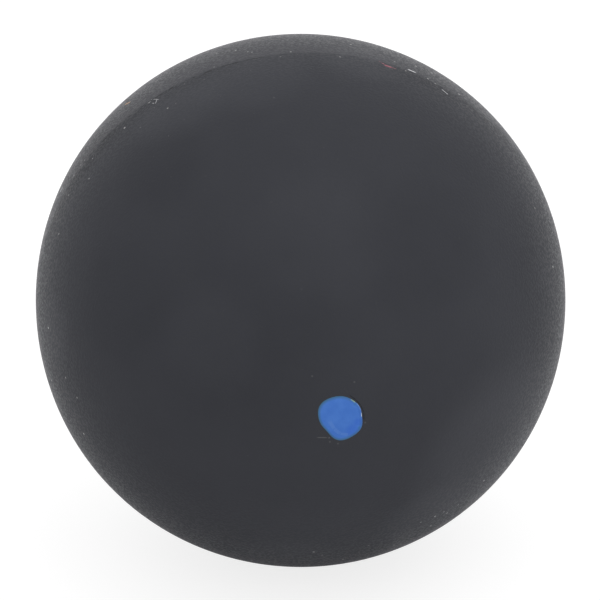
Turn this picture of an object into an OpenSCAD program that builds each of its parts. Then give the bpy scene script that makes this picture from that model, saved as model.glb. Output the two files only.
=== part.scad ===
// Squash ball: a small hollow rubber ball with a paint dot that marks how fast it plays.
// The rubber is moulded as two half shells, whose rims are buffed flat and cemented together.
// The sealed air space inside holds plain air. Lengths are in millimetres.
// The origin is the ball's centre, and the seam lies in the XZ plane.
// The half with the dot faces -Y, so both halves are turned about the Y axis.

/* [Ball] */
// Diameter of the ball
ball_d = 40; // [37:0.25:46]
// Thickness of the rubber, which sets how heavy the ball is
wall = 5.2; // [3:0.1:8]

/* [Rims] */
// Width of the buffed bevel round each rim, measured away from the seam
bevel_w = 0.08; // [0.04:0.01:0.4]
// Depth of that bevel at the seam, below the ball's surface
bevel_depth = 0.01; // [0.01:0.005:0.4]
// Radius of the round inner edge of each rim
inner_edge_r = 0.4; // [0.2:0.05:0.8]

/* [Cement] */
// Thickness of the cured cement between the rims
cement_t = 0.14; // [0.08:0.02:0.4]
// How far the cement stays below the ball's surface in the seam
cement_recess = 0.01; // [0.01:0.005:0.4]
// How far the bead of squeezed-out cement spreads over the wall past each rim's round edge
bead_lap = 0.15; // [0.05:0.05:0.6]

/* [Paint dot] */
// Mean diameter of the dot
dot_d = 3.4; // [2:0.05:6]
// Thickness of the dried paint
dot_t = 0.06; // [0.03:0.01:0.3]
// Place of the dot's centre to the right of the front pole
dot_x = 1.3; // [-5:0.1:5]
// Place of the dot's centre above the front pole
dot_z = -0.65; // [-5:0.05:5]

/* [Hidden] */
$fn = 144;

// Radius of the ball and of the air space inside it
ball_r = ball_d / 2;
cavity_r = ball_r - wall;
// Distance of each rim's flat face from the middle of the seam
rim_z = cement_t / 2;
// Centre of the round inner edge in the cross section: it touches the flat face and the inner wall
inner_edge_z = rim_z + inner_edge_r;
inner_edge_x = sqrt(pow(cavity_r + inner_edge_r, 2) - pow(inner_edge_z, 2));
// Radius of the bead, whose middle lies on the inner wall
bead_r = inner_edge_z + bead_lap;
// One overrun for every cut
cut_over = 1;
// Swells of the dot's edge: how many there are round it, their share of its radius,
// and the angle of a crest, anticlockwise from the right
dot_swell_shares = [[2, 0.1, 120], [3, 0.035, 35], [4, 0.01, 70], [5, 0.012, 45], [6, 0.015, 25]];
// Points round the dot's edge
dot_points = 72;

// Half of a cross section, on the plus side of the axis that everything turns about
module turned_half(r) {
    intersection() {
        circle(r = r);
        translate([0, -r])
            square([r, 2 * r]);
    }
}

// Everything on the far side of a rim's flat face, which is cut away
module below_rim() {
    translate([-cut_over, rim_z - ball_r - cut_over])
        square([ball_r + 2 * cut_over, ball_r + cut_over]);
}

// Buffed bevel at the outer edge of a rim: it meets the ball's surface bevel_w above the rim
module bevel_cut() {
    slope = bevel_w / bevel_depth;
    foot = ball_r - bevel_depth;
    polygon([
        [foot, rim_z],
        [foot, rim_z - cut_over],
        [ball_r + cut_over, rim_z - cut_over],
        [ball_r + cut_over, rim_z + (bevel_depth + cut_over) * slope]
    ]);
}

// Corner between a rim's flat face and the air space, outside the round inner edge
module inner_edge_cut() {
    touch_share = cavity_r / (cavity_r + inner_edge_r);
    difference() {
        polygon([
            [cavity_r - cut_over, rim_z - cut_over],
            [inner_edge_x, rim_z - cut_over],
            [inner_edge_x, inner_edge_z],
            [inner_edge_x * touch_share, inner_edge_z * touch_share],
            [cavity_r - cut_over, inner_edge_z * touch_share]
        ]);
        translate([inner_edge_x, inner_edge_z])
            circle(r = inner_edge_r);
    }
}

// Cross section of one half shell's wall, with its round inner edge
module wall_section() {
    difference() {
        turned_half(ball_r);
        circle(r = cavity_r);
        below_rim();
        inner_edge_cut();
    }
}

// Moulded half shell, standing on its rim with the pole up
module half_shell() {
    rotate_extrude()
        difference() {
            wall_section();
            bevel_cut();
        }
}

// Half shell that carries the dot
module front_half_shell() {
    color("#3d3d42")
        rotate([90, 0, 0])
            half_shell();
}

// Plain half shell behind the seam
module rear_half_shell() {
    color("#434348")
        rotate([-90, 0, 0])
            half_shell();
}

// Cross section of the bead, up to where the film between the flat faces begins
module bead_section() {
    difference() {
        translate([cavity_r, 0])
            circle(r = bead_r);
        wall_section();
        mirror([0, 1])
            wall_section();
        translate([inner_edge_x, -bead_r])
            square([bead_r, 2 * bead_r]);
    }
}

// Ring of cured cement: a thin film between the rims, and a bead that fills the hollow between
// their round inner edges and stands out into the air space
module joint_adhesive() {
    color("#2b2b2e")
        rotate([90, 0, 0])
            rotate_extrude() {
                translate([inner_edge_x, -rim_z])
                    square([ball_r - cement_recess - inner_edge_x, cement_t]);
                bead_section();
            }
}

// Distance from the dot's centre to its edge, at the angle a
function dot_edge(a) =
    let (swells = [for (s = dot_swell_shares) s[1] * cos(s[0] * (a - s[2]))])
    let (share = 1 + swells * [for (s = dot_swell_shares) 1])
    dot_d / 2 * share;

// Thin blob of paint that lies on the front half's surface, just beside its pole
module blue_dot() {
    color("#4370bc")
        rotate([90, 0, 0])
            intersection() {
                rotate_extrude()
                    difference() {
                        turned_half(ball_r + dot_t);
                        circle(r = ball_r);
                    }
                translate([dot_x, dot_z])
                    linear_extrude(height = ball_r + dot_t + cut_over)
                        polygon([
                            for (i = [0 : dot_points - 1])
                                let (a = i * 360 / dot_points)
                                    dot_edge(a) * [cos(a), sin(a)]
                        ]);
            }
}

front_half_shell();
rear_half_shell();
joint_adhesive();
blue_dot();
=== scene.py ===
from math import asin, atan2, cos, exp, hypot, pi, radians, sin, sqrt

import bpy
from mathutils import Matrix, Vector, noise


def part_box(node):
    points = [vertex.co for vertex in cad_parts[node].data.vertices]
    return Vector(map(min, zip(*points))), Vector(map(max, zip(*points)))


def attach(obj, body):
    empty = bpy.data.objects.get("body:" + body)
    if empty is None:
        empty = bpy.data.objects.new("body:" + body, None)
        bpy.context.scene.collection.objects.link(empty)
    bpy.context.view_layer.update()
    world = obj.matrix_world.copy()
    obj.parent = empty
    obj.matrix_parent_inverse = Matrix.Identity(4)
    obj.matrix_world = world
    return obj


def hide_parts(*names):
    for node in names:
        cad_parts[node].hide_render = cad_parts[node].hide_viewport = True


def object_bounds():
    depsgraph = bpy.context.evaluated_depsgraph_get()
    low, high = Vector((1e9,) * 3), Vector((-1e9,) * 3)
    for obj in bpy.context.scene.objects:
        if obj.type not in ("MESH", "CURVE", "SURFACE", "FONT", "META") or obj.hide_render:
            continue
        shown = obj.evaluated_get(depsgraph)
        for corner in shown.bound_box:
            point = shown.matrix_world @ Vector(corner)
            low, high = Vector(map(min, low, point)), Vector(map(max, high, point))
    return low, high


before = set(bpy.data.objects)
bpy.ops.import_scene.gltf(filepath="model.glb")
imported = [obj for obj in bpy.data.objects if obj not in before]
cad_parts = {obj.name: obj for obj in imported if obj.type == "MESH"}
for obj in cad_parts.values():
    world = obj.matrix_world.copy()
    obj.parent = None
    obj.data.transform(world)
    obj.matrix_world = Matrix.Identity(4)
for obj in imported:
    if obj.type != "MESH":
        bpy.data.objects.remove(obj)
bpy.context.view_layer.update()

# Rear half shell. A thick cup of black rubber, pressed in a hot mould, with its rim ground flat.
# Once the halves are cemented the ball is tumbled and buffed, which leaves a fine matt grain.
# This half lay uppermost and caught more dust, so it is a shade paler than the front one.
mm = 0.001
ball_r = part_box("rear_half_shell")[1].y
rim_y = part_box("rear_half_shell")[0].y
wall = 5.2 * mm
cavity_r = ball_r - wall
bevel_w = 0.08 * mm
bevel_depth = 0.004 * mm
inner_edge_r = 0.4 * mm
inner_edge_steps = 8
columns = 360
skin_rings = 120
inner_rings = 48

# Middle of the round inner edge, and the angle at which that edge runs into the inner wall.
inner_edge_y = rim_y + inner_edge_r
inner_edge_x = sqrt((cavity_r + inner_edge_r) ** 2 - inner_edge_y ** 2)
wall_angle = atan2(inner_edge_y, inner_edge_x)

# Slow swells in the skin, with others that many times finer, and how far the ball is out of
# round: it is longer one way and shorter another.
wave_height = 0.004 * mm
wave_size = 1.6 * mm
finer_waves = 2.3
out_of_round = 0.065 * mm
flattening = 0.03 * mm
long_way = Vector((0.03, 0.4, 0.91)).normalized()
short_way = Vector((0.995, -0.08, 0.0)).normalized()

# Discs on the map of a piece: the middle, and the radius where a stretch starts and where it ends.
whole_map = ((0.5, 0.5), 0, 0.49)
low_corner = ((0.08, 0.08), 0.075, 0.03)
high_corner = ((0.92, 0.92), 0.075, 0)


def arc(centre, radius, start, end, steps):
    """Points (out from the axis, along the axis) on a round stretch between two angles."""
    turns = [start + (end - start) * i / steps for i in range(steps + 1)]
    return [(centre[0] + radius * cos(t), centre[1] + radius * sin(t)) for t in turns]


inner_edge = arc(
    (inner_edge_x, inner_edge_y), inner_edge_r, -pi / 2, -pi + wall_angle, inner_edge_steps
)


def shell_section():
    """Section of a cup in three stretches, each with its disc on the map.

    The buffed skin fills the map. The rim and the inner wall, which nobody sees, share its corners."""
    skin = arc((0, 0), ball_r, pi / 2, asin((rim_y + bevel_w) / ball_r), skin_rings)
    rim = [skin[-1], (ball_r - bevel_depth, rim_y)] + inner_edge
    inner = [rim[-1]] + arc((0, 0), cavity_r, wall_angle, pi / 2, inner_rings)[1:]
    return [(skin, *whole_map), (rim, *low_corner), (inner, *high_corner)]


def settled(p):
    """A point of the skin: slow swells from buffing, a slight oval, and a flatter top and sides."""
    way = p.normalized()
    swell = noise.noise(p / wave_size) + noise.noise(p / wave_size * finer_waves) / 2
    upward = way.dot(long_way) ** 2
    sideways = way.dot(short_way) ** 2
    rise = out_of_round * (upward - sideways) - flattening * (1 - 8 * upward * sideways)
    return p + way * (wave_height * swell + rise)


def ring_radii(points, start, end):
    """Radius on the map of each ring of a stretch, so that every bit of surface has its fair share."""
    area = [0]
    for (out, along), (next_out, next_along) in zip(points, points[1:]):
        area.append(area[-1] + (out + next_out) * hypot(next_out - out, next_along - along))
    return [sqrt(start ** 2 + (end ** 2 - start ** 2) * a / area[-1]) for a in area]


def new_piece(name, verts, faces, map_places=None):
    """Smooth object made of these points and faces, with a place on the map for each face corner."""
    mesh = bpy.data.meshes.new(name)
    mesh.from_pydata(verts, [], faces)
    if map_places:
        layer = mesh.uv_layers.new(name="OFBake")
        for loop, map_place in zip(layer.data, map_places):
            loop.uv = map_place
    mesh.shade_smooth()
    mesh.set_sharp_from_angle(angle=radians(30))
    piece = bpy.data.objects.new(name, mesh)
    bpy.context.scene.collection.objects.link(piece)
    return piece


def turned(name, stretches, facing=1):
    """Piece turned about the Y axis from the stretches of its section.

    Points at the skin are settled. The pole looks along +Y, or along -Y where facing is -1."""
    verts = []
    faces = []
    map_places = []
    rings = {}
    angles = [2 * pi * column / columns for column in range(columns + 1)]
    for points, middle, start, end in stretches:
        for point in points:
            if point in rings:
                continue
            out, along = point
            on_axis = out < 1e-9
            first = len(verts)
            for a in angles[:1] if on_axis else angles[:-1]:
                p = Vector((out * cos(a), along * facing, out * sin(a)))
                verts.append(settled(p) if p.length > ball_r - wall / 2 else p)
            rings[point] = [first + (0 if on_axis else i % columns) for i in range(columns + 1)]
        bands = list(zip([rings[point] for point in points], ring_radii(points, start, end)))
        for (ring, radius), (next_ring, next_radius) in zip(bands, bands[1:]):
            for i in range(columns):
                corners = {}
                for around, r, j in (
                    (ring, radius, i),
                    (ring, radius, i + 1),
                    (next_ring, next_radius, i + 1),
                    (next_ring, next_radius, i),
                ):
                    map_place = (middle[0] + r * cos(angles[j]), middle[1] + r * sin(angles[j]))
                    corners.setdefault(around[j], map_place)
                order = list(corners)[::facing]
                faces.append(order)
                map_places += [corners[v] for v in order]
    return new_piece(name, verts, faces, map_places)


def on_skin(point):
    """The point in millimetres, moved onto a true sphere of the ball's size."""
    return Vector(point).normalized() * (ball_r / mm)


class Wire:
    """A number, colour or place on its way through the nodes of one material."""

    def __init__(self, tree, node=None, output=0):
        self.tree = tree
        self.node = node
        self.output = output

    def add(self, kind, settings=None, inputs=None, output=0):
        """Adds a node: its settings first, then the values or wires of its sockets."""
        node = self.tree.nodes.new("ShaderNode" + kind)
        for name, value in (settings or {}).items():
            setattr(node, name, value)
        for name, value in (inputs or {}).items():
            if isinstance(value, Wire):
                self.tree.links.new(value.node.outputs[value.output], node.inputs[name])
            else:
                node.inputs[name].default_value = value
        return Wire(self.tree, node, output)

    def other(self, output):
        """Another output of the same node."""
        return Wire(self.tree, self.node, output)

    def part(self, axis):
        """One number of this place or colour: its X, Y or Z."""
        return self.add("SeparateXYZ", {}, {0: self}, axis)

    def maths(self, operation, *values, clamp=False):
        """Maths on numbers and wires, in the order given."""
        settings = {"operation": operation, "use_clamp": clamp}
        return self.add("Math", settings, dict(enumerate(values)))

    def __add__(self, other):
        return self.maths("ADD", self, other)

    def __sub__(self, other):
        return self.maths("SUBTRACT", self, other)

    def __rsub__(self, other):
        return self.maths("SUBTRACT", other, self)

    def __mul__(self, other):
        return self.maths("MULTIPLY", self, other)

    def __truediv__(self, other):
        return self.maths("DIVIDE", self, other)

    def __abs__(self):
        return self.maths("ABSOLUTE", self)

    __radd__ = __add__
    __rmul__ = __mul__

    def most(self, other):
        """The larger of two numbers."""
        return self.maths("MAXIMUM", self, other)

    def step(self, low, high):
        """0 at low, 1 at high, with a soft rise between; low above high turns it round."""
        settings = {"interpolation_type": "SMOOTHSTEP"}
        return self.add("MapRange", settings, {"Value": self, "From Min": low, "From Max": high})

    def tint(self, low, high):
        """Colour between two others, with this number as the share of the second."""
        return self.add("Mix", {"data_type": "RGBA"}, {"Factor": self, 6: low, 7: high}, 2)

    def vector(self, operation, other=(0, 0, 0), output=0):
        """Vector maths on this place and another place, or a scale."""
        inputs = {"Scale": other} if operation == "SCALE" else {1: other}
        return self.add("VectorMath", {"operation": operation}, {0: self, **inputs}, output)

    def towards(self, way):
        """How far this place lies from the centre along a way."""
        return self.vector("DOT_PRODUCT", way, 1)

    def noise(self, size, detail=2.0, seed=0.0):
        """Soft noise from about 0 to 1 round this place, with lumps of that size."""
        place = self.vector("ADD", (seed, seed / 3, -seed))
        return place.add("TexNoise", {}, {"Vector": place, "Scale": 1 / size, "Detail": detail})

    def spot(self, middle, radius):
        """1 in a small soft spot round a point."""
        return self.vector("DISTANCE", on_skin(middle), 1).step(radius, radius * 0.4)

    def stroke(self, start, end, width):
        """1 along a thin straight line from start to end, which fades at its ends."""
        start = on_skin(start)
        along = on_skin(end) - start
        offset = self.vector("SUBTRACT", start)
        share = offset.towards(tuple(along / along.length_squared))
        share = share.maths("ADD", share, 0, clamp=True)
        foot = self.add("VectorMath", {"operation": "SCALE"}, {0: tuple(along), "Scale": share})
        taper = abs(share - 0.5).step(0.56, 0.34)
        return offset.vector("DISTANCE", foot, 1).step(width, width * 0.35) * taper

    def motes(self, spacing, share, radius, seed):
        """Round specks, one in some of the cells that far apart, each of its own size and strength."""
        place = self.vector("ADD", (seed, -seed, seed / 2))
        cell = place.add("TexVoronoi", {}, {"Vector": place, "Scale": 1 / spacing})
        luck = cell.other("Color")
        reach = luck.part("Y") * (radius / spacing) + 0.02
        near = (cell / reach).step(1.0, 0.3)
        chosen = luck.part("X").step(1 - share, 1 - share * 0.6)
        return near * chosen * (luck.part("Z") * 0.7 + 0.3)


def level(red, green, blue):
    """Scene colour of a screen colour from 0 to 255."""
    screen = [c / 255 for c in (red, green, blue)]
    return tuple(c / 12.92 if c < 0.04045 else ((c + 0.055) / 1.055) ** 2.4 for c in screen) + (1,)


def new_material(name):
    """Empty material, a wire to start its nodes from, and the place in mm from the ball's centre."""
    material = bpy.data.materials.new(name)
    material.use_nodes = True
    material.node_tree.nodes.clear()
    here = Wire(material.node_tree)
    return material, here, here.add("TexCoord", {}, {}, "Object").vector("SCALE", 1 / mm)


def skin_over(place):
    """Spot of the skin that lies over a place, on a true sphere of the ball's size."""
    return place.vector("NORMALIZE").vector("SCALE", ball_r / mm)


# Lint on the ball, in millimetres from its centre. Pale, red and tan fibres and one curled hair
# are straight strokes: both ends and the width. The specks are large enough to stand alone.
pale_fibres = [
    ((8.01, 0.3, 18.32), (8.61, 0.25, 18.05), 0.09),
    ((10.45, -0.65, 17.04), (10.9, -1.0, 16.75), 0.045),
    ((-17.7, 1.9, 9.1), (-17.9, 1.9, 8.7), 0.08),
]
curled_hair = [
    ((-11.71, 0.01, 16.21), (-11.45, 0.01, 16.4), 0.055),
    ((-11.45, 0.01, 16.4), (-11.24, -0.24, 16.54), 0.045),
    ((-11.26, -0.17, 16.53), (-11.05, 0.11, 16.67), 0.06),
    ((-11.05, 0.09, 16.67), (-10.58, -0.71, 16.96), 0.035),
    ((-10.71, -0.49, 16.88), (-10.87, -1.0, 16.76), 0.045),
    ((-11.07, -0.63, 16.65), (-10.95, -0.82, 16.71), 0.05),
]
red_fibres = [
    ((5.85, 0.1, 19.12), (6.2, -0.2, 19.02), 0.1),
    ((6.2, -0.37, 19.0), (6.75, -0.46, 18.82), 0.17),
    ((6.75, -0.46, 18.82), (7.1, -0.48, 18.69), 0.045),
]
tan_fibres = [((-12.86, 3.4, 14.94), (-12.5, 2.84, 15.34), 0.12)]
bright_motes = [
    (8.8, 2.0, 17.9), (9.5, 0.1, 17.6), (10.0, 2.2, 17.2), (11.9, 0.6, 16.1), (4.0, 3.0, 19.4),
    (-13.2, -1.2, 15.0), (18.4, -6.2, 4.8), (12.7, -11.9, -9.9), (9.9, -12.4, -12.2),
    (8.9, -13.3, -12.0), (8.7, -12.1, -13.3), (2.2, -11.9, -16.0), (-0.2, -14.1, -14.2),
    (-16.9, -8.5, -6.5), (-19.1, -4.5, -3.9), (-19.3, -5.1, 0.7),
]
plain_motes = [
    (7.1, 1.0, 18.7), (7.8, -0.2, 18.4), (10.0, -0.2, 17.3), (2.9, -0.4, 19.8), (-0.7, 0.4, 20.0),
    (-3.5, 1.4, 19.6), (-3.8, 1.7, 19.6), (-6.0, 3.5, 18.8), (-9.4, 0.0, 17.7), (-10.2, 3.7, 16.8),
    (-10.1, -2.7, 17.1), (-15.6, -0.9, 12.5), (-16.4, 0.5, 11.4), (-16.9, 0.4, 10.6),
    (-16.0, -2.8, 11.7), (-17.5, -1.1, 9.7), (-18.3, -3.0, 7.4), (-18.6, 0.2, 7.5),
    (-18.2, -8.0, -2.1), (-17.5, -9.3, -3.2), (18.7, -3.4, 6.4), (17.1, -5.0, 9.1),
    (17.1, -8.8, -5.4), (14.9, -9.8, -9.0), (10.7, -12.2, -11.6), (9.6, -13.0, -11.8),
    (9.1, -11.5, -13.6), (7.8, -13.8, -12.2), (7.3, -11.5, -14.6), (6.0, -12.0, -14.9),
    (0.5, -13.5, -14.8), (-1.1, -11.9, -16.1),
]
faint_motes = [
    (2.3, -19.8, 2.1), (0.5, -19.8, -2.6), (1.1, -19.8, -2.8), (3.1, -19.7, -1.2),
    (-0.8, -19.8, 2.7),
]

# Marks beside the paint dot: a thin dark line of painted shade on the rubber at its right, where the
# raised lip stands, and a faint pale scratch below it.
lip_shade_line = [
    ((1.93, -19.88, 1.11), (2.41, -19.84, 0.7), 0.05),
    ((2.41, -19.84, 0.7), (2.78, -19.8, 0.2), 0.05),
    ((2.78, -19.8, 0.2), (2.99, -19.77, -0.35), 0.05),
    ((2.99, -19.77, -0.35), (3.0, -19.75, -0.96), 0.05),
]
scratch = [
    ((-0.45, -19.87, -2.19), (0.3, -19.87, -2.24), 0.05),
    ((0.4, -19.87, -2.25), (0.48, -19.87, -2.25), 0.09),
]

# Broad soft patches of painted light and shade, paler or darker: the middle in millimetres from the
# ball's centre, the radius, and how much of the way from dark to pale rubber they add.
painted_shading = [
    ((13.1, -13.6, -6.6), 9.0, 0.42),
    ((-1.5, -18.0, -8.5), 9.0, 0.1),
    ((-14.3, -12.6, 6.1), 6.0, -0.1),
    ((-9.5, -2.8, 17.4), 5.0, 0.25),
    ((-8.0, -17.6, 4.9), 5.0, 0.15),
    ((-0.6, -16.1, 11.9), 7.0, 0.12),
    ((4.4, -0.4, 19.5), 4.0, 0.2),
    ((8.2, -14.1, -11.6), 4.5, 0.3),
    ((-19.1, -6.0, 0.9), 3.5, 0.3),
    ((-15.8, 1.4, 12.2), 4.5, -0.3),
    ((18.0, -7.5, 4.5), 8.0, -0.2),
    ((-3.5, -3.0, 19.4), 5.0, 0.2),
    ((-1.7, -12.6, -15.4), 5.0, 0.25),
    ((13.2, -9.9, -11.4), 3.0, 0.3),
    ((7.6, -15.0, 10.8), 7.0, -0.12),
    ((-10.7, -7.9, 14.8), 5.0, -0.12),
    ((-5.3, -18.4, 5.8), 10.0, -0.1),
    ((7.2, -7.9, -16.9), 3.0, 0.3),
]

# Where dust settled, as ways from the ball's centre, and a pale patch of painted light low at the
# right front, broken up like dust: its middle and its radius.
dusty_top = (-0.45, 0.45, 0.77)
dusty_foot = (0.31, -0.41, -0.86)
painted_light_patch = ((8.1, -8.0, -16.5), 8.0)

# Tones of the rubber and of the dust on it, and of its velvet at grazing angles. Specks come with
# their radius and strength, and strokes with their strength and tone.
dark_rubber = level(48, 49, 54)
pale_rubber = level(68, 69, 74)
# Pale tone of the dust film, also used for the painted light.
film_and_light_tone = level(190, 188, 192)
dust_tone = level(190, 190, 188)
velvet_tone = (0.95, 0.91, 1.0, 1.0)
single_specks = [(bright_motes, 0.11, 0.8), (plain_motes, 0.1, 0.45), (faint_motes, 0.1, 0.07)]
marks = [
    (pale_fibres, 0.9, level(235, 235, 238)),
    (curled_hair, 0.405, level(235, 235, 238)),
    (red_fibres, 0.8, level(165, 95, 108)),
    (tan_fibres, 0.9, level(185, 150, 120)),
    # Painted shade at the foot of the paint's lip.
    (lip_shade_line, 0.8, level(35, 38, 42)),
]


def most_of(masks):
    """The largest of several masks."""
    total = masks[0]
    for mask in masks[1:]:
        total = total.most(mask)
    return total


def seam_shade(place, upper, painted_shade_share):
    """Tone beside the seam: a soft band of painted shade along the rim at the sides, and darkening at the
    left.
    """
    from_seam = abs(place.part("Y"))
    at_sides = abs(place.part("X")).step(4.0, 9.0)
    painted_shade_band = from_seam.step(2.5, 0.1) * at_sides * upper * painted_shade_share
    # Darker at the left, in and beside the joint.
    left_darkening = place.noise(1.1, 3.0, seed=31.0).step(0.35, 0.6) * place.part("X").step(-1.0, -7.0)
    return painted_shade_band - from_seam.step(0.45, 0.1) * left_darkening * upper * 0.3


def dust_film_and_light(place, skin, upper, film_share):
    """Share of the thin film of dust on the upper side, and of painted light low at the right front."""
    film = place.part("Y").step(18.0, 6.0) * upper * film_share
    # Painted light, broken up with noise.
    smudge = skin.spot(*painted_light_patch) * place.noise(2.2, 4.0, seed=17.0).step(0.4, 0.7)
    return film.most(smudge * 0.1)


def loose_dust(place, skin, strength):
    """Share of the specks: random ones, most of them where dust settled, then the single ones.

    The scratch below the paint dot has the same pale tone."""
    patches = place.noise(5.0, seed=21.0).step(0.35, 0.75)
    dusty = skin.towards(dusty_top).step(11.0, 19.0).most(skin.towards(dusty_foot).step(17.3, 19.3))
    dusty = dusty * (patches * 0.6 + 0.4) + 0.03
    fine = place.motes(spacing=0.4, share=0.4, radius=0.05, seed=5.0)
    coarse = place.motes(spacing=0.8, share=0.6, radius=0.11, seed=11.0)
    dust = fine.most(coarse) * dusty * strength
    for places, radius, share in single_specks:
        dust = dust.most(most_of([skin.spot(at, radius) for at in places]) * share)
    return dust.most(most_of([skin.stroke(*mark) for mark in scratch]) * 0.12)


def velvet_finish(here, colour, roughness, velvet, bump):
    """Matt surface that turns pale at grazing angles, as buffed rubber does."""
    shader = here.add("BsdfPrincipled", {}, {
        "Base Color": colour,
        "Roughness": roughness,
        "Specular IOR Level": 0.05,
        "Sheen Weight": velvet,
        "Sheen Roughness": 0.12,
        "Sheen Tint": velvet_tone,
        "Normal": bump,
    })
    here.add("OutputMaterial", {}, {"Surface": shader})


def buffed_rubber(name, velvet, dust_strength, film_share, painted_shade_share):
    """Matt black rubber: cloudy tone, fine buffed grain, patches of painted light and shade, dust and
    lint.
    """
    material, here, place = new_material(name)
    skin = skin_over(place)
    clouds = place.noise(11.0, 3.0) * 0.7 + place.noise(2.2, seed=7.0) * 0.3
    grain = place.noise(0.2, seed=3.0)
    upper = (place.part("Z") + (clouds - 0.5) * 12.0).step(-14.0, 7.0)
    shade = 0.5 + (clouds - 0.5) * 0.4 + (grain - 0.5) * 0.05
    # Patches of painted light and shade.
    for at, radius, share in painted_shading:
        shade = shade + skin.spot(at, radius) * share
    # Painted shade beside the seam at the sides, and the darkening at the left.
    shade = shade + seam_shade(place, upper, painted_shade_share)
    dust = loose_dust(place, skin, dust_strength)
    colour = shade.tint(dark_rubber, pale_rubber)
    colour = dust_film_and_light(place, skin, upper, film_share).tint(colour, film_and_light_tone)
    colour = dust.tint(colour, dust_tone)
    for strokes, share, tone in marks:
        colour = (most_of([skin.stroke(*stroke) for stroke in strokes]) * share).tint(colour, tone)
    bump = here.add("Bump", {}, {"Distance": 0.022 * mm, "Height": grain + dust * 0.7})
    velvet_finish(here, colour, 0.5 - grain.step(0.42, 0.62) * 0.2, velvet, bump)
    return material


rear = turned("rear_shell", shell_section())
rear_rubber = buffed_rubber(
    "rear_rubber", velvet=0.23, dust_strength=1.0, film_share=0.036, painted_shade_share=0.0
)
rear.data.materials.append(rear_rubber)
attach(rear, "root")
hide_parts("rear_half_shell")

# Front half shell. The same cup out of the same mould, turned round so that the rims meet.
# It is cemented to the rear one and buffed with it, and it carries the paint dot. No film of dust
# lies on its upper side, and beside the seam it has a band of painted shade.
front = turned("front_shell", shell_section(), facing=-1)
front_rubber = buffed_rubber(
    "front_rubber", velvet=0.19, dust_strength=0.6, film_share=0.0, painted_shade_share=-0.35
)
front.data.materials.append(front_rubber)
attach(front, "root")
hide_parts("front_half_shell")

# Cement. Rubber solution brushed on both rims, which cures to a thin dark ring as they are pressed
# together. It ends just below the skin, where it is darker at the left, and inside the ball it
# squeezes out into a small bead.
cement_recess = 0.004 * mm
bead_lap = 0.15 * mm
bead_steps = 24
ring_on_map = ((0.5, 0.5), 0.49, 0.1)


def cement_section():
    """Closed section of the ring: the film between the rims, and the bead that fills their edges."""
    bead_r = inner_edge_y + bead_lap
    reach = (2 * cavity_r ** 2 - bead_r ** 2) / (2 * cavity_r)
    lap = atan2(sqrt(cavity_r ** 2 - reach ** 2), reach - cavity_r)
    bead = arc((cavity_r, 0), bead_r, lap, 2 * pi - lap, bead_steps)
    front_edge = [(x, -y) for x, y in inner_edge[::-1]]
    outer = ball_r - cement_recess
    return [(outer, -rim_y), (outer, rim_y)] + inner_edge + bead + front_edge + [(outer, -rim_y)]


ring = turned("cement_ring", [(cement_section(), *ring_on_map)])
cement, here, place = new_material("cured_cement")
lumps = place.noise(0.8, 3.0)
blotches = place.noise(0.5, seed=13.0)
darker_cement = blotches.step(0.42, 0.58).tint(level(25, 26, 29), level(57, 58, 63))
plain_cement = lumps.step(0.3, 0.7).tint(level(58, 59, 64), level(64, 65, 70))
# The cement is darker at the left.
colour = place.part("X").step(-8.0, 6.0).tint(darker_cement, plain_cement)
bump = here.add("Bump", {}, {"Distance": 0.02 * mm, "Height": lumps})
velvet_finish(here, colour, 0.5 - lumps.step(0.4, 0.6) * 0.2, velvet=0.2, bump=bump)
ring.data.materials.append(cement)
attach(ring, "root")
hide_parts("joint_adhesive")

# Paint dot. One dab of thick blue paint that marks how fast the ball plays, put on after buffing.
# It ran together into a raised lip at the right, and thins to a feathered edge at the left and top.
dot_r = 1.7 * mm
dot_x = 1.29 * mm
dot_z = -0.65 * mm
paint_t = 0.05 * mm
sunk = 0.008 * mm
ripple_height = 0.004 * mm
ripple_size = 0.7 * mm
dot_columns = 144
dot_rings = 30
ring_crowding = 1.6

# Swells of the dot's edge: how many there are round it, their share of its radius, and the angle
# of a crest in degrees, anticlockwise from the right.
dot_swells = [(2, 0.1, 120), (3, 0.035, 35), (4, 0.01, 70), (5, 0.012, 45), (6, 0.015, 25)]

# The lip: its height, where it lies round the dot, and its crest and half width as shares of the
# way to the edge. Its tint and the feathered edge start at a share of that way too.
lip_t = 0.03 * mm
lip_middle = radians(15)
lip_spread = radians(45)
crest_share = 0.94
crest_width = 0.04
lip_start = 0.85
feather_start = 0.86


def dot_edge(a):
    """Distance from the dot's middle to its edge, in the direction a."""
    return dot_r * (1 + sum(s * cos(n * (a - radians(crest))) for n, s, crest in dot_swells))


def lip_share(a):
    """How much of a lip the edge has: all of it at the right, none at the left."""
    return exp(-(((a - lip_middle + pi) % (2 * pi) - pi) / lip_spread) ** 2)


def near_edge(share, start):
    """0 up to the share start, and 1 at the edge."""
    return max(0, share - start) / (1 - start)


def paint_point(a, share):
    """Point of the paint's skin, in the direction a and at a share of the way to the edge.

    The paint thins slowly towards a feathered edge, and stays thick right up to the lip."""
    out = dot_edge(a) * share
    x = dot_x + out * cos(a)
    z = dot_z + out * sin(a)
    p = settled(Vector((x, -sqrt(ball_r ** 2 - x ** 2 - z ** 2), z)))
    lip = lip_share(a)
    body = paint_t * sqrt(1 - share ** (4 + 10 * lip))
    crest = lip_t * lip * exp(-((share - crest_share) / crest_width) ** 2)
    ripple = ripple_height * noise.noise(p / ripple_size)
    rise = body + crest + ripple if share < 1 else -sunk
    return p + p.normalized() * rise


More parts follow.
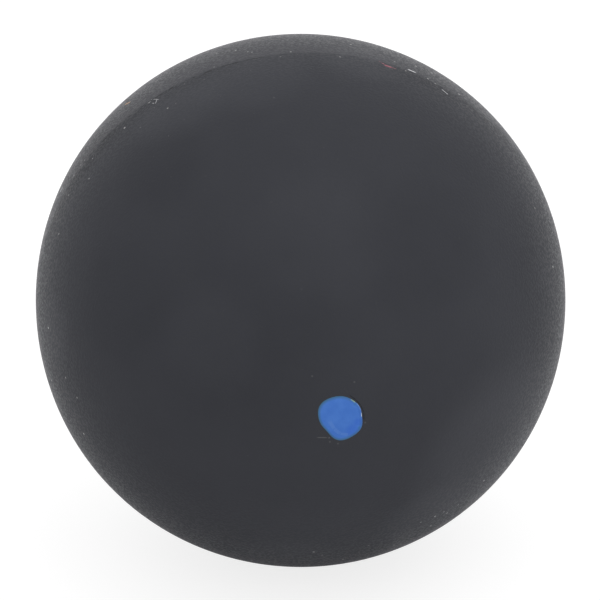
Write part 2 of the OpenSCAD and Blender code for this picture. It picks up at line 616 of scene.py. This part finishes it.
angles = [2 * pi * column / dot_columns for column in range(dot_columns)]
verts = [paint_point(0, 0)]
feather = [0]
lips = [0]
for ring_no in range(1, dot_rings + 1):
    share = 1 - (1 - ring_no / dot_rings) ** ring_crowding
    verts += [paint_point(a, share) for a in angles]
    feather += [(1 - lip_share(a)) * near_edge(share, feather_start) for a in angles]
    lips += [lip_share(a) * near_edge(share, lip_start) for a in angles]
underside = len(verts)
verts.append(verts[0].normalized() * (verts[0].length - 3 * paint_t))
feather.append(0)
lips.append(0)
faces = []
for column in range(dot_columns):
    after = (column + 1) % dot_columns
    faces.append([0, 1 + column, 1 + after])
    for first in range(1, underside - dot_columns, dot_columns):
        outer = first + dot_columns
        faces.append([first + column, outer + column, outer + after, first + after])
    last = underside - dot_columns
    faces.append([last + column, underside, last + after])
dot = new_piece("paint_dot", verts, faces)
for name, shares in (("feather", feather), ("lip", lips)):
    dot.data.attributes.new(name, "FLOAT", "POINT").data.foreach_set("value", shares)

# Painted highlights where the lip catches the light, on the crest of the paint, and where the paint
# is streaked.
green_glint = ((2.06, -19.9, 0.8), (2.36, -19.85, 0.53), 0.09)
white_glint = ((2.86, -19.8, -0.34), (2.87, -19.8, -0.66), 0.1)
lip_lights = [
    ((2.45, -19.85, 0.45), (2.68, -19.8, 0.15), 0.06),
    ((2.68, -19.8, 0.15), (2.84, -19.8, -0.3), 0.06),
]
streaks = [
    ((0.45, -20.0, -0.85), (0.8, -19.9, -1.5), 0.2),
    ((0.8, -19.9, -1.5), (1.25, -19.9, -1.95), 0.2),
    ((1.25, -19.9, -1.95), (1.85, -19.8, -2.05), 0.16),
]
teal_spots = [((2.65, -19.8, -1.55), 0.16), ((2.3, -19.9, 0.35), 0.13)]
deep_spots = [((2.2, -19.8, -1.75), 0.7), ((2.55, -19.8, -1.1), 0.45)]
paint, here, place = new_material("blue_paint")
skin = skin_over(place)
clouds = place.noise(0.9, 3.0, seed=4.0)
colour = clouds.step(0.3, 0.7).tint(level(62, 112, 195), level(70, 120, 201))
colour = (most_of([skin.spot(*spot) for spot in deep_spots]) * 0.5).tint(colour, level(48, 98, 196))
colour = (most_of([skin.stroke(*streak) for streak in streaks]) * 0.6).tint(colour, level(84, 128, 200))
colour = (most_of([skin.spot(*spot) for spot in teal_spots]) * 0.4).tint(colour, level(50, 115, 160))
feathered = here.add("Attribute", {"attribute_name": "feather"}, {}, "Fac")
colour = feathered.tint(colour, level(58, 100, 122))
lipped = here.add("Attribute", {"attribute_name": "lip"}, {}, "Fac")
colour = (lipped * 0.4).tint(colour, level(56, 98, 170))
# Painted highlights along the lip.
colour = (most_of([skin.stroke(*light) for light in lip_lights]) * 0.5).tint(colour, level(130, 165, 215))
colour = (skin.stroke(*green_glint) * 0.5).tint(colour, level(170, 195, 120))
colour = (skin.stroke(*white_glint) * 0.9).tint(colour, level(225, 240, 240))
shader = here.add("BsdfPrincipled", {}, {
    "Base Color": colour,
    "Roughness": 0.5 + (clouds - 0.5) * 0.3,
    "Specular IOR Level": 0.2,
    "Normal": here.add("Bump", {}, {"Distance": 0.01 * mm, "Height": place.noise(0.25, seed=9.0)}),
})
here.add("OutputMaterial", {}, {"Surface": shader})
dot.data.materials.append(paint)
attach(dot, "root")
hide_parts("blue_dot")

# Floor. A wide sheet of white paper that the ball stands on. Seen from above it shows nearly white,
# with the ball's soft shadow. Painted shade darkens its colour at the left, so it throws less light
# back there, and from below it is left out.
floor_size = 3.0
floor_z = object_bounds()[0].z
dim_side_mm = -40.0
bright_side_mm = 60.0
dim_paper = (0.64, 0.64, 0.64, 1)
bright_paper = (0.88, 0.88, 0.88, 1)
mirrored_paper = (0.95, 0.95, 0.95, 1)
seen_paper = (0.3, 0.3, 0.3, 1)
corners = [(x * floor_size, y * floor_size, floor_z) for x, y in ((-1, -1), (1, -1), (1, 1), (-1, 1))]
floor = new_piece("floor", corners, [(0, 1, 2, 3)])
paper, here, place = new_material("white_paper")
seen = here.add("LightPath", {}, {}, "Is Camera Ray")
mirrored = seen.other("Is Glossy Ray")
seen = seen.most(seen.other("Is Transmission Ray"))
# Painted shade: the paper is darker at the left.
tone = place.part("X").step(dim_side_mm, bright_side_mm).tint(dim_paper, bright_paper)
tone = seen.tint(mirrored.tint(tone, mirrored_paper), seen_paper)
sheet = here.add("AddShader", {}, {
    0: here.add("BsdfDiffuse", {}, {"Color": tone}),
    1: here.add("Emission", {}, {"Strength": seen * 0.8 + mirrored * 0.05}),
})
under = here.add("NewGeometry", {}, {}, "Backfacing")
clear = here.add("BsdfTransparent")
here.add("OutputMaterial", {}, {
    "Surface": here.add("MixShader", {}, {0: under, 1: sheet, 2: clear}),
})
floor.data.materials.append(paper)

# Light. An even pale room, darker near the horizon and most of all at the left, and one wide soft
# lamp overhead, a little to the right. Seen straight or in a mirror, the room is plain white.
room_strength = 1.02
world = bpy.data.worlds.new("room")
bpy.context.scene.world = world
world.use_nodes = True
world.node_tree.nodes.clear()
here = Wire(world.node_tree)
seen = here.add("LightPath", {}, {}, "Is Camera Ray")
seen = seen.most(seen.other("Is Glossy Ray")).most(seen.other("Is Transmission Ray"))
way = here.add("TexCoord", {}, {}, "Generated")
dimming = way.part("Z").step(0.45, 0.1) * (0.22 - way.part("X") * 0.08)
strength = (room_strength - dimming).most(seen)
sky = here.add("Background", {}, {"Color": (1, 1, 1, 1), "Strength": strength})
here.add("OutputWorld", {}, {"Surface": sky})

lamp = bpy.data.lights.new("top_lamp", "AREA")
lamp.shape = "RECTANGLE"
lamp.size = 0.8
lamp.size_y = 0.8
lamp.energy = 0.9
lamp_object = bpy.data.objects.new("top_lamp", lamp)
lamp_object.location = (0.35, -0.12, 0.85)
lamp_object.rotation_mode = "QUATERNION"
lamp_object.rotation_quaternion = lamp_object.location.to_track_quat("Z", "Y")
lamp_object.visible_camera = False
bpy.context.scene.collection.objects.link(lamp_object)

# Camera. A long lens from the front, a little to the left and above, as the photograph was taken.
# Its length follows from the radius of the ball's outline on the photograph, in pixels.
camera_turn = radians(-4.75)
camera_rise = radians(23.8)
camera_far = 30 * ball_r
frame_px = 600
outline_px = 266.2
shift_right_px = 0.6
shift_down_px = 0.4
camera = bpy.data.cameras.new("camera")
camera.sensor_width = 36.0
camera.lens = camera.sensor_width * outline_px * sqrt((camera_far / ball_r) ** 2 - 1) / frame_px
camera.clip_start = 0.01
camera.shift_x = -shift_right_px / frame_px
camera.shift_y = shift_down_px / frame_px
camera_object = bpy.data.objects.new("camera", camera)
back = Vector((
    sin(camera_turn) * cos(camera_rise),
    -cos(camera_turn) * cos(camera_rise),
    sin(camera_rise),
))
camera_object.location = back * camera_far
camera_object.rotation_mode = "QUATERNION"
camera_object.rotation_quaternion = back.to_track_quat("Z", "Y")
bpy.context.scene.collection.objects.link(camera_object)
bpy.context.scene.camera = camera_object
bpy.context.scene.view_settings.view_transform = "Standard"
